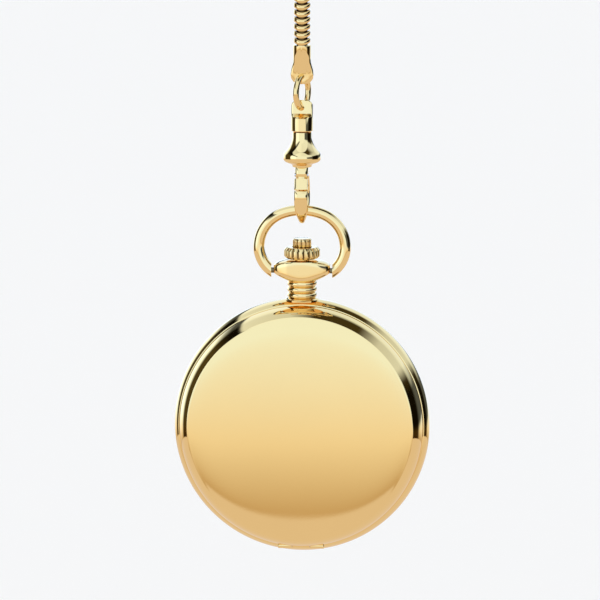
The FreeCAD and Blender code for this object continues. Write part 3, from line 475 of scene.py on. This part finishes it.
def lid_side():
    """The lid's side in degrees of slope: from its crisp edge round to the lip."""
    r, y = LID_EDGE, LID_TOP - lid_drop(LID_EDGE)
    points = [(LID_EDGE - 0.05, y + 0.012), (LID_EDGE + 0.02, y - 0.012)]
    for start, end, reach in ((42, 58, LID_SIDE), (58, 80, LID_FOOT)):
        a = math.radians(start)
        for i in range(1, 13):
            b = math.radians(start + (end - start) * i / 12)
            points.append((r + reach * (math.sin(b) - math.sin(a)),
                           y - reach * (math.cos(a) - math.cos(b))))
        r, y = points[-1]
    return points + LID_LIP


def lid(way, name):
    """A lid: a shallow dome with a crisp edge and a rounded side that falls to its lip."""
    dome = [(LID_EDGE * i / 60, LID_TOP - lid_drop(LID_EDGE * i / 60)) for i in range(60)]
    under = [(r, LID_TOP - LID_WALL - lid_drop(r)) for r in (19.8, 18, 15, 10, 5, 0)]
    profile = [Vector((r, way * y)) for r, y in dome + lid_side() + LID_INSIDE + under]
    hinge = HINGE_Y * way
    shell = finish_piece(f"{name}_shell", *lathe(profile, "Y", ROUND), GOLD, name, at=CASE)
    cut_away(shell, CASE, notch(hinge, LID_KNUCKLE, NOTCH_END),
             notch(hinge, -NOTCH_END, -LID_KNUCKLE))
    finish_piece(f"{name}_knuckle", *knuckle(hinge, -LID_KNUCKLE, LID_KNUCKLE), GOLD, body=name,
                 at=CASE)


for way, name in ((-1, "front_lid"), (1, "back_cover")):
    lid(way, name)

band = arc((BAND_RADIUS, -BAND_HALF), (BAND_RADIUS, BAND_HALF), BAND_BULGE, 28)
ring = [Vector(p) for p in ((BAND_BORE, -BAND_HALF), (22.5, -2.3), *band, (22.5, 2.3),
                            (BAND_BORE, BAND_HALF))]
case = finish_piece("case_band", *lathe(ring, "Y", ROUND), GOLD, "case_middle", at=CASE)
cut_away(case, CASE, *[notch(HINGE_Y * way, -CASE_KNUCKLE, CASE_KNUCKLE) for way in (-1, 1)])
for way, side in ((-1, "front"), (1, "back")):
    for name, a, b in (("left", -KNUCKLES_END, -CASE_KNUCKLE),
                       ("right", CASE_KNUCKLE, KNUCKLES_END)):
        finish_piece(f"case_knuckle_{side}_{name}", *knuckle(HINGE_Y * way, a, b), GOLD,
                     body="case", at=CASE)


# ---------------------------------------------------------------- pendant and bow

BEAD_BASE, BEAD_PITCH, BEAD_ROOT, BEAD_BULGE = 23.62, 1.06, 2.36, 0.36


def pendant_head():
    """Boat-shaped: a lens in plan, coned below and slightly domed above."""
    wide, deep, curve = 5.45, 2.85, 11.27
    levels = [(26.75 + 1.45 * i / 8, 2.6 + 2.9 * i / 8) for i in range(9)]
    levels += [(28.45, 5.75), (29.3, 5.8), (29.55, 5.72), (29.72, 5.5), (30.0, 4.95),
               (30.25, 4.3), (30.45, 3.55), (30.56, 2.9), (30.62, 2.2), (30.64, 1.6)]
    sections = []
    for z, reach in levels:
        section = []
        for s in range(128):
            t = TAU * s / 128
            x, y = math.cos(t), math.sin(t)
            lens = 1e9
            if abs(y) > TINY:
                # how far out the lens's curved side lies in this direction
                centre = -(curve - deep)
                b = abs(y) * centre
                lens = b + math.sqrt(b * b + curve * curve - centre * centre)
            if abs(x) > TINY:
                # its two ends are blunt
                lens = (lens ** -12 + (wide / abs(x)) ** -12) ** (-1 / 12)
            near = (lens ** -10 + reach ** -10) ** -0.1
            section.append((near * x, near * y, z))
        sections.append(section)
    return loft(sections)


neck = [(1.5, 21.2), (1.9, 21.2), (1.9, 23.0), (3.05, 23.0), (3.06, 23.32), (2.9, 23.5),
        (2.55, 23.62)]
for number in range(3):
    base = BEAD_BASE + BEAD_PITCH * number
    neck += arc((BEAD_ROOT, base), (BEAD_ROOT, base + BEAD_PITCH), BEAD_BULGE, 12)
neck += [(2.45, 26.85), (2.4, 27.4), (1.5, 27.4)]
finish_piece("pendant_body", *joined(lathe(neck, seg=96), pendant_head()), GOLD, "pendant",
             at=CASE, sharp=40)


def bow_path():
    """Centre line from the left foot over the top to the right foot, in arcs."""
    right = []
    for centre, radius, a, b, steps in (((0, 29.09), 10.66, 90, 70.04, 12),
                                        ((1.42, 33.0), 6.5, 70.04, 0, 30),
                                        ((2.42, 33.0), 5.5, 0, -62.0, 24)):
        for i in range(steps + 1):
            t = math.radians(a + (b - a) * i / steps)
            point = Vector((centre[0] + radius * math.cos(t), 0, centre[1] + radius * math.sin(t)))
            if not right or (point - right[-1]).length > 1e-4:
                right.append(point)
    return [Vector((-p.x, 0, p.z)) for p in right[::-1]][:-1] + right


def bow_wire(share):
    """The wire's radius: thicker down its two sides."""
    return 0.98 + 0.09 * (2 * abs(share - 0.5)) ** 1.5


# The bow's feet are cut off upright, clear of the pendant's head between them.
BOW_GAP = 5.6
bow = finish_piece("bow_wire", *tube(bow_path(), bow_wire, 48), GOLD, "bow", at=CASE)
cut_away(bow, CASE, loft([[(-BOW_GAP, -3, z), (BOW_GAP, -3, z), (BOW_GAP, 3, z), (-BOW_GAP, 3, z)]
                          for z in (24, 36)]))


# ---------------------------------------------------------------- crown and button

SLEEVE, POCKET, CROWN_TOP = 1.4, 31.72, 33.0
BUTTON_FOOT, PUSH_ROD = 32.6, 0.36


def flutes(count, depth, base, top, power):
    """How a fluted barrel's radius changes round it, fading out at its two ends."""
    def radial(t, level):
        fade = max(0.0, min(1.0, (level - base) / 0.25, (top - level) / 0.25))
        wave = abs(math.sin(count * t / 2)) ** power
        return 1 - depth * fade * (1 - wave)
    return radial


crown = rounded([(SLEEVE, 30.9), (2.85, 30.9, 0.2), (3.3, 31.35, 0.3), (3.3, 32.45, 0.35),
                 (2.85, CROWN_TOP, 0.25), (1.82, CROWN_TOP, 0.08), (1.82, POCKET),
                 (SLEEVE, POCKET)])
crown_flutes = flutes(CROWN_FLUTES, 0.10, 31.0, 32.95, 0.55)
finish_piece("crown_knob", *joined(lathe(crown, seg=360, radial=crown_flutes),
                                   cylinder(SLEEVE, 26.5, 31.2, 0.72, seg=64)),
             CROWN_GOLD, "crown", at=CASE, sharp=FLUTE_SHARP)
button = rounded([(0, BUTTON_FOOT), (1.6, BUTTON_FOOT), (1.72, 32.7), (1.72, 34.28, 0.2),
                  (1.5, 34.55, 0.1), (0, 34.6)])
button_flutes = flutes(BUTTON_FLUTES, 0.12, BUTTON_FOOT, 34.5, 0.6)
finish_piece("button_knob", *joined(lathe(button, seg=240, radial=button_flutes),
                                    cylinder(PUSH_ROD, 15.6, BUTTON_FOOT, seg=32)),
             BUTTON_GOLD, "push_button", at=CASE, sharp=FLUTE_SHARP)


# ---------------------------------------------------------------- dial print

INK_FRONT, INK_BACK = -1.775, -1.74
TRACK_IN, TRACK_OUT, TRACK_LINE = 17.25, 18.05, 0.08
SECONDS_DROP, SECONDS_IN, SECONDS_OUT, SECONDS_LONG = 8.5, 3.35, 3.9, 3.05
NUMERAL_LOW, NUMERAL_HIGH = 13.7, 16.5
THICK, THIN, SERIF = 0.38, 0.16, 0.12
LETTER_WIDTH = {"I": 0.72, "V": 1.5, "X": 1.6}
HOURS = ("XII", "I", "II", "III", "IIII", "V", "VI", "VII", "VIII", "IX", "X", "XI")


def printed(strokes):
    """Thin raised ink strokes on the dial; each is four corners (x, z)."""
    verts, faces = [], []
    for corners in strokes:
        base = len(verts)
        verts += [(x, y, z) for y in (INK_FRONT, INK_BACK) for x, z in corners]
        faces += [[base + k for k in quad] for quad in
                  ((0, 1, 2, 3), (7, 6, 5, 4), (0, 4, 5, 1), (1, 5, 6, 2), (2, 6, 7, 3),
                   (3, 7, 4, 0))]
    return verts, faces


def spot(angle, across, out, drop):
    """A place on the dial, from its clockwise angle, the step across and the radius."""
    s, c = math.sin(angle), math.cos(angle)
    return out * s + across * c, out * c - across * s - drop


def stroke(angle, a, b, wide, drop=0.0):
    """A bar from a to b, both (across, out)."""
    a, b = Vector(a), Vector(b)
    side = Vector((-(b - a).y, (b - a).x)).normalized() * wide / 2
    return [spot(angle, *p, drop) for p in (a + side, b + side, b - side, a - side)]


def numeral(hour):
    """Roman strokes of one hour, standing with its foot toward the centre."""
    low, high = NUMERAL_LOW, NUMERAL_HIGH
    letters = HOURS[hour % 12]
    angle = TAU * hour / 12
    total = sum(LETTER_WIDTH[c] for c in letters)
    at, out = -total / 2, []
    for c in letters:
        mid, half = at + LETTER_WIDTH[c] / 2, LETTER_WIDTH[c] / 2 - 0.22
        bars = {"I": (((mid, low), (mid, high), THICK),),
                "V": (((mid - half, high), (mid, low), THICK),
                      ((mid + half, high), (mid, low), THIN)),
                "X": (((mid - half, high), (mid + half, low), THICK),
                      ((mid + half, high), (mid - half, low), THIN))}
        out += [stroke(angle, a, b, wide) for a, b, wide in bars[c]]
        at += LETTER_WIDTH[c]
    return out + [stroke(angle, (-total / 2, level), (total / 2, level), SERIF)
                  for level in (low, high)]


def circle_strokes(radius, wide, steps, drop=0.0):
    half = math.pi * radius / steps
    return [stroke(TAU * (i + 0.5) / steps, (-half, radius), (half, radius), wide, drop)
            for i in range(steps)]


marks = circle_strokes(TRACK_IN, TRACK_LINE, 180) + circle_strokes(TRACK_OUT, TRACK_LINE, 180)
for tick in range(60):
    marks.append(stroke(TAU * tick / 60, (0, TRACK_IN), (0, TRACK_OUT),
                        0.34 if tick % 5 == 0 else 0.13))
for hour in range(1, 13):
    marks += numeral(hour)
marks += circle_strokes(SECONDS_OUT, 0.07, 90, SECONDS_DROP)
marks += circle_strokes(SECONDS_IN, 0.05, 90, SECONDS_DROP)
for tick in range(60):
    start = SECONDS_LONG if tick % 5 == 0 else SECONDS_IN
    marks.append(stroke(TAU * tick / 60, (0, start), (0, SECONDS_OUT), 0.09, SECONDS_DROP))
finish_piece("dial_print", *printed(marks), INK, body=BODY_OF["dial"], slot="dial", at=CASE)


# ---------------------------------------------------------------- jump rings

RING_RADIUS, RING_WIRE, NODE_WIRE = 2.9, 0.56, 1.1


def ring_path(node, seg=72):
    """A ring standing on edge, at the same turn about Z as the CAD node it stands for."""
    low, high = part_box(node)
    across = Vector(((high.x - low.x) / MM - NODE_WIRE, (high.y - low.y) / MM - NODE_WIRE, 0))
    across.normalize()
    turns = [TAU * i / seg for i in range(seg)]
    return [across * (RING_RADIUS * math.cos(t)) + Vector((0, 0, RING_RADIUS * math.sin(t)))
            for t in turns]


for name in ("upper_jump_ring", "lower_jump_ring"):
    finish_piece(f"{name}_wire", *tube(ring_path(name), RING_WIRE, closed=True), GOLD_TRIM, name,
                 at=(0, 0, middle(name).z))


# ---------------------------------------------------------------- swivel: bell, hook, gate, eye

HOOK_HALF, HOOK_TAPER_FROM, HOOK_TAPER = 1.24, -13.0, 3.42
bell = [(0.86, 0), (1.5, 0), (1.72, -0.12), (1.76, -0.35), (1.76, -1.1), (1.82, -1.5),
        (2.05, -2.2), (2.45, -2.95), (2.92, -3.55), (3.25, -3.92), (3.4, -4.2), (3.44, -4.5),
        (3.44, -5.0), (3.34, -5.35), (3.05, -5.6), (2.6, -5.78), (2.1, -5.92), (1.85, -6.15),
        (1.72, -6.5), (1.3, -6.6), (0, -6.6), (0, -3.3), (1.45, -3.3), (1.45, -2.15),
        (0.86, -2.15)]


def hook_wire():
    """The hook's bent wire: down the back from its neck, round the keel and up to its tip.

    Each point of the line is (y, z, half thickness); the wire is wide along X, and narrows
    toward the keel.
    """
    line = smooth([Vector(p) for p in (
        (1.0, -7.6, 0.8), (1.42, -8.5, 0.66), (2.1, -9.4, 0.56), (2.62, -10.4, 0.54),
        (2.88, -11.6, 0.55), (2.7, -12.9, 0.56), (2.05, -14.4, 0.55), (1.12, -15.62, 0.54),
        (0, -16.42, 0.56), (-1.12, -15.62, 0.54), (-2.05, -14.4, 0.55), (-2.7, -12.9, 0.56),
        (-2.87, -11.6, 0.53), (-2.76, -10.9, 0.42), (-2.72, -10.68, 0.3))], 5)
    last = len(line) - 1
    sections = []
    for i, (y, z, thick) in enumerate(line):
        along = (line[min(i + 1, last)] - line[max(i - 1, 0)]).xy.normalized()
        taper = 0.72 * (max(0.0, HOOK_TAPER_FROM - z) / HOOK_TAPER) ** 2
        wide = HOOK_HALF - taper - (0.3 if i == last else 0)
        sections.append([(c, y - along.y * s, z + along.x * s)
                         for c, s in (q[:2] for q in oval(wide, thick, 0, 2.5, 48))])
    return loft(sections)


def hook_neck():
    """The flat-sided neck below the bell, which carries the gate's pin."""
    rows = [(-6.1, 1.2, 1.4, 0.0), (-6.5, 1.24, 1.55, -0.05), (-7.0, 1.24, 1.75, -0.12),
            (-7.6, 1.24, 1.9, -0.03), (-8.1, 1.24, 1.95, 0.05), (-8.27, 1.18, 1.85, 0.05),
            (-8.33, 0.9, 1.5, 0.05)]
    return loft([[(x, y + back, z) for x, y, z in oval(a, b, z, 4.0, 64)]
                 for z, a, b, back in rows])


finish_piece("hook_body", *joined(lathe(bell, seg=128), hook_neck(), hook_wire()), GOLD,
             "swivel_hook", at=BELL, sharp=SOFT_SHARP)
gate = [Vector(p) for p in ((-1.3, -8.5), (-2.3, -8.42), (-2.62, -9.3), (-2.88, -10.1),
                            (-2.93, -10.38), (-2.3, -10.68))]
tongue = [Vector(p) for p in ((-0.9, -7.7), (-1.0, -8.5), (-1.55, -9.1), (-2.35, -9.1),
                              (-2.05, -8.5), (-1.7, -7.7))]
finish_piece("gate_blade", *joined(plate_x(gate, 1.23, 0.2), plate_x(tongue, 0.58, 0.08)),
             GOLD, "hook_gate", at=BELL, sharp=SOFT_SHARP)

# The eye is round at its foot and flat at its top: rows of level, half widths and squareness.
eye_rows = [(0.06, 1.85, 1.85, 2), (0.2, 2.0, 2.0, 2), (2.5, 2.0, 2.0, 2), (2.75, 1.98, 1.7, 2.3),
            (3.0, 1.98, 0.85, 3), (3.3, 1.98, 0.5, 3.5), (4.9, 1.96, 0.42, 3.5),
            (5.35, 1.75, 0.41, 3.2), (5.65, 1.35, 0.4, 3), (5.8, 0.9, 0.3, 2.6)]
eye = finish_piece("eye_body", *loft([oval(a, b, z, p) for z, a, b, p in eye_rows]), GOLD,
                   "swivel_eye", at=BELL, sharp=SOFT_SHARP)
window = rounded([(-1.2, 2.9, 0.35), (1.2, 2.9, 0.35), (1.2, 5.1, 0.8), (-1.2, 5.1, 0.8)])
cut_away(eye, BELL, loft([[(p.x, y, p.y) for p in window] for y in (-3, 3)]))
finish_piece("eye_shank", *joined(cylinder(0.8, -2.3, 0.3), cylinder(1.3, -2.9, -2.25)), GOLD,
             body="swivel", at=BELL)


# ---------------------------------------------------------------- chain and its end caps

CAP_LENGTH, CAP_HOLE, CAP_HOLE_AT = 7.2, 1.1, 5.4
SEAM_HALF, SEAM_FROM, SEAM_TO = 0.12, 0.2, 2.6
LINK_RING, LINK_THICK, LINK_TALL, LINK_WAVE, LINK_DROP = 1.28, 0.26, 0.5, 0.2, -0.57
LINKS = 7


def end_cap(name, node, chain_end, way):
    """A crimped cap: round where it holds the chain, flattened to a holed tongue at its end.

    Its rows are (distance from the chain's end, two half widths, squareness).
    """
    rows = [(0.0, 1.52, 1.52, 2), (0.15, 1.62, 1.62, 2), (1.6, 1.62, 1.6, 2), (2.4, 1.6, 1.35, 2.1),
            (3.2, 1.62, 0.95, 2.4), (3.9, 1.8, 0.62, 2.9), (4.6, 2.0, 0.45, 3.3),
            (5.4, 2.1, 0.41, 3.3), (6.2, 2.0, 0.4, 3.2), (6.8, 1.6, 0.4, 3),
            (7.1, 1.1, 0.38, 3), (7.2, 0.7, 0.32, 2.6)]
    cap = finish_piece(name, *loft([oval(a, b, -way * d, p) for d, a, b, p in rows]), GOLD, node,
                       at=(0, 0, chain_end), sharp=SOFT_SHARP)
    hole, hole_faces = cylinder(CAP_HOLE, -3, 3, axis="Y", seg=64)
    hole = [(x, y, z - way * CAP_HOLE_AT) for x, y, z in hole]
    seam = [(x, y, -way * z) for y in (-1.9, -1.42)
            for x, z in ((SEAM_HALF, SEAM_FROM), (-SEAM_HALF, SEAM_FROM),
                         (-SEAM_HALF, SEAM_TO), (SEAM_HALF, SEAM_TO))]
    seam_faces = [[0, 1, 2, 3], [7, 6, 5, 4], [0, 1, 5, 4], [1, 2, 6, 5], [2, 3, 7, 6],
                  [3, 0, 4, 7]]
    cut_away(cap, (0, 0, chain_end), (hole, hole_faces), (seam, seam_faces))


def snake_link():
    """One wavy band of the snake chain, with the core that joins it to the next."""
    verts, faces, seg, sides = [], [], 96, 14
    for s in range(seg):
        t = TAU * s / seg
        wave = LINK_WAVE * math.cos(2 * t)
        for k in range(sides):
            u = TAU * k / sides
            r = LINK_RING + LINK_THICK * math.cos(u)
            verts.append((r * math.cos(t), r * math.sin(t),
                          LINK_DROP + wave + LINK_TALL * math.sin(u)))
    for s in range(seg):
        for k in range(sides):
            a, b, n = s * sides, ((s + 1) % seg) * sides, (k + 1) % sides
            faces.append([a + k, a + n, b + n, b + k])
    return joined((verts, faces), cylinder(1.02, -1.5, -0.1, 0.5, seg=40))


chain_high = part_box("upper_end_cap")[1].z - CAP_LENGTH * MM
chain_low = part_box("lower_end_cap")[0].z + CAP_LENGTH * MM
end_cap("lower_cap_body", "lower_end_cap", chain_low, 1)
end_cap("upper_cap_body", "upper_end_cap", chain_high, -1)
finish_piece("upper_cap_core", *cylinder(1.0, -0.75, 0.25, seg=40), CHAIN_GOLD, body="upper_cap",
             at=(0, 0, chain_high))
for number in range(1, LINKS + 1):
    node = f"chain_link_{number}"
    finish_piece(f"snake_link_{number}", *snake_link(), CHAIN_GOLD, node,
                 at=(0, 0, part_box(node)[1].z), sharp=FLUTE_SHARP)


# ---------------------------------------------------------------- floor

FLOOR_SIZE, FLOOR_GAP = 60, 0.05
bpy.context.scene.view_settings.view_transform = "Standard"
bpy.ops.mesh.primitive_plane_add(size=FLOOR_SIZE, location=(0, 0, cad_box[0][2] - FLOOR_GAP))
floor = bpy.context.object
floor.name = "floor"
floor.data.materials.append(material("floor_paper", (0.93, 0.93, 0.93), 0.9, metal=0.0, vary=0.0))
floor.visible_glossy = False


# ---------------------------------------------------------------- light

PAPER = (0.9, 0.9, 0.9)
TABLE, WHITE, BLACK, DARK = (0.82, 0.76, 0.74), (1, 1, 1), (0, 0, 0), (0.06, 0.04, 0.012)
# The studio by height, from straight down to straight up: warm table, horizon, cool tent.
HEIGHTS = [(-1, TABLE), (-0.249, TABLE), (-0.243, (0.62, 0.49, 0.33)),
           (-0.185, (0.98, 0.97, 0.92)), (-0.09, (1.0, 1.3, 1.75)), (1, (1.0, 1.25, 1.6))]
TENT = [(-1, BLACK), (-0.249, BLACK), (-0.243, WHITE), (1, WHITE)]
# The tent from front to back, with a dark opening beside and behind the object.
DEPTHS = [(-1, WHITE), (-0.33, WHITE), (-0.29, DARK), (0.42, DARK), (0.6, (0.95, 0.95, 0.9)),
          (1, WHITE)]
# Where that opening is covered, by degrees round the object from straight up to the right.
COVERED = [(-180, 0), (-42, 0), (-39, 0.8), (-10, 0.7), (4, 0), (32, 0), (46, 0.7), (64, 0.8),
           (72, 0), (180, 0)]
# The tent's dark seams by the same degrees, and how far toward the front they reach.
SEAMS = [(-180, 1), (-120, 1), (-100, 1.25), (-60, 1.25), (-53, 0.5), (-47, 0.1), (-41, 0.07),
         (-39, 1.05), (-8, 1), (4, 0.9), (66, 0.95), (74, 0.5), (79, 0.1), (98, 0.08), (102, 1),
         (180, 1)]
SEAM_REACH = [(-1, BLACK), (-0.86, BLACK), (-0.8, WHITE), (1, WHITE)]


def studio():
    """A soft studio: a warm table below, and a cool bright tent open at its sides."""
    world = bpy.data.worlds.new("studio")
    bpy.context.scene.world = world
    world.use_nodes = True
    nodes, links = world.node_tree.nodes, world.node_tree.links
    place = nodes.new("ShaderNodeTexCoord")
    split = nodes.new("ShaderNodeSeparateXYZ")
    links.new(place.outputs["Generated"], split.inputs[0])

    def ramp(value, low, high, stops):
        scale = nodes.new("ShaderNodeMapRange")
        scale.inputs["From Min"].default_value = low
        scale.inputs["From Max"].default_value = high
        links.new(value, scale.inputs["Value"])
        out = nodes.new("ShaderNodeValToRGB")
        links.new(scale.outputs["Result"], out.inputs["Fac"])
        elements = out.color_ramp.elements
        while len(elements) < len(stops):
            elements.new(0.5)
        for element, (at, color) in zip(elements, stops):
            element.position, element.color = (at - low) / (high - low), (*color, 1)
        return out.outputs["Color"]

    def blend(factor, a, b, how="MIX"):
        mix = nodes.new("ShaderNodeMix")
        mix.data_type, mix.blend_type = "RGBA", how
        links.new(factor, mix.inputs["Factor"])
        for socket, color in ((mix.inputs["A"], a), (mix.inputs["B"], b)):
            if isinstance(color, tuple):
                socket.default_value = (*color, 1)
            else:
                links.new(color, socket)
        return mix.outputs["Result"]

    def by_angle(stops):
        grey = [(math.radians(at), (level, level, level)) for at, level in stops]
        return ramp(turn.outputs["Value"], -math.pi, math.pi, grey)

    turn = nodes.new("ShaderNodeMath")
    turn.operation = "ARCTAN2"
    links.new(split.outputs["X"], turn.inputs[0])
    links.new(split.outputs["Z"], turn.inputs[1])
    depth, height = split.outputs["Y"], split.outputs["Z"]
    around = blend(by_angle(COVERED), ramp(depth, -1, 1, DEPTHS), WHITE)
    around = blend(ramp(depth, -1, 1, SEAM_REACH), around, by_angle(SEAMS), "MULTIPLY")
    tent = blend(ramp(height, -1, 1, TENT), ramp(height, -1, 1, HEIGHTS), around, "MULTIPLY")
    # only reflections see the tent; everything else is lit by plain pale paper
    path = nodes.new("ShaderNodeLightPath")
    seen = blend(path.outputs["Is Glossy Ray"], PAPER, tent)
    links.new(seen, nodes["Background"].inputs["Color"])
    nodes["Background"].inputs["Strength"].default_value = 1.0


studio()
sun = bpy.data.objects.new("soft_key", bpy.data.lights.new("soft_key", "SUN"))
sun.data.energy, sun.data.angle = 0.45, math.radians(50)
sun.rotation_euler = (math.radians(35), math.radians(-20), 0)
sun.visible_glossy = False
bpy.context.scene.collection.objects.link(sun)


# ---------------------------------------------------------------- camera

AZIMUTH, ELEVATION, DISTANCE, VIEW_WIDTH = 4.5, 9.0, 1.2, 0.11
AIM = CASE + Vector((-0.00038, 0, 0.0231))
camera = bpy.data.objects.new("camera", bpy.data.cameras.new("camera"))
bpy.context.scene.collection.objects.link(camera)
az, el = math.radians(AZIMUTH), math.radians(ELEVATION)
away = Vector((math.sin(az) * math.cos(el), -math.cos(az) * math.cos(el), math.sin(el)))
camera.location = AIM + away * DISTANCE
camera.rotation_euler = (AIM - camera.location).to_track_quat("-Z", "Y").to_euler()
camera.data.lens = camera.data.sensor_width * DISTANCE / VIEW_WIDTH
camera.data.clip_start = 0.01
bpy.context.scene.camera = camera
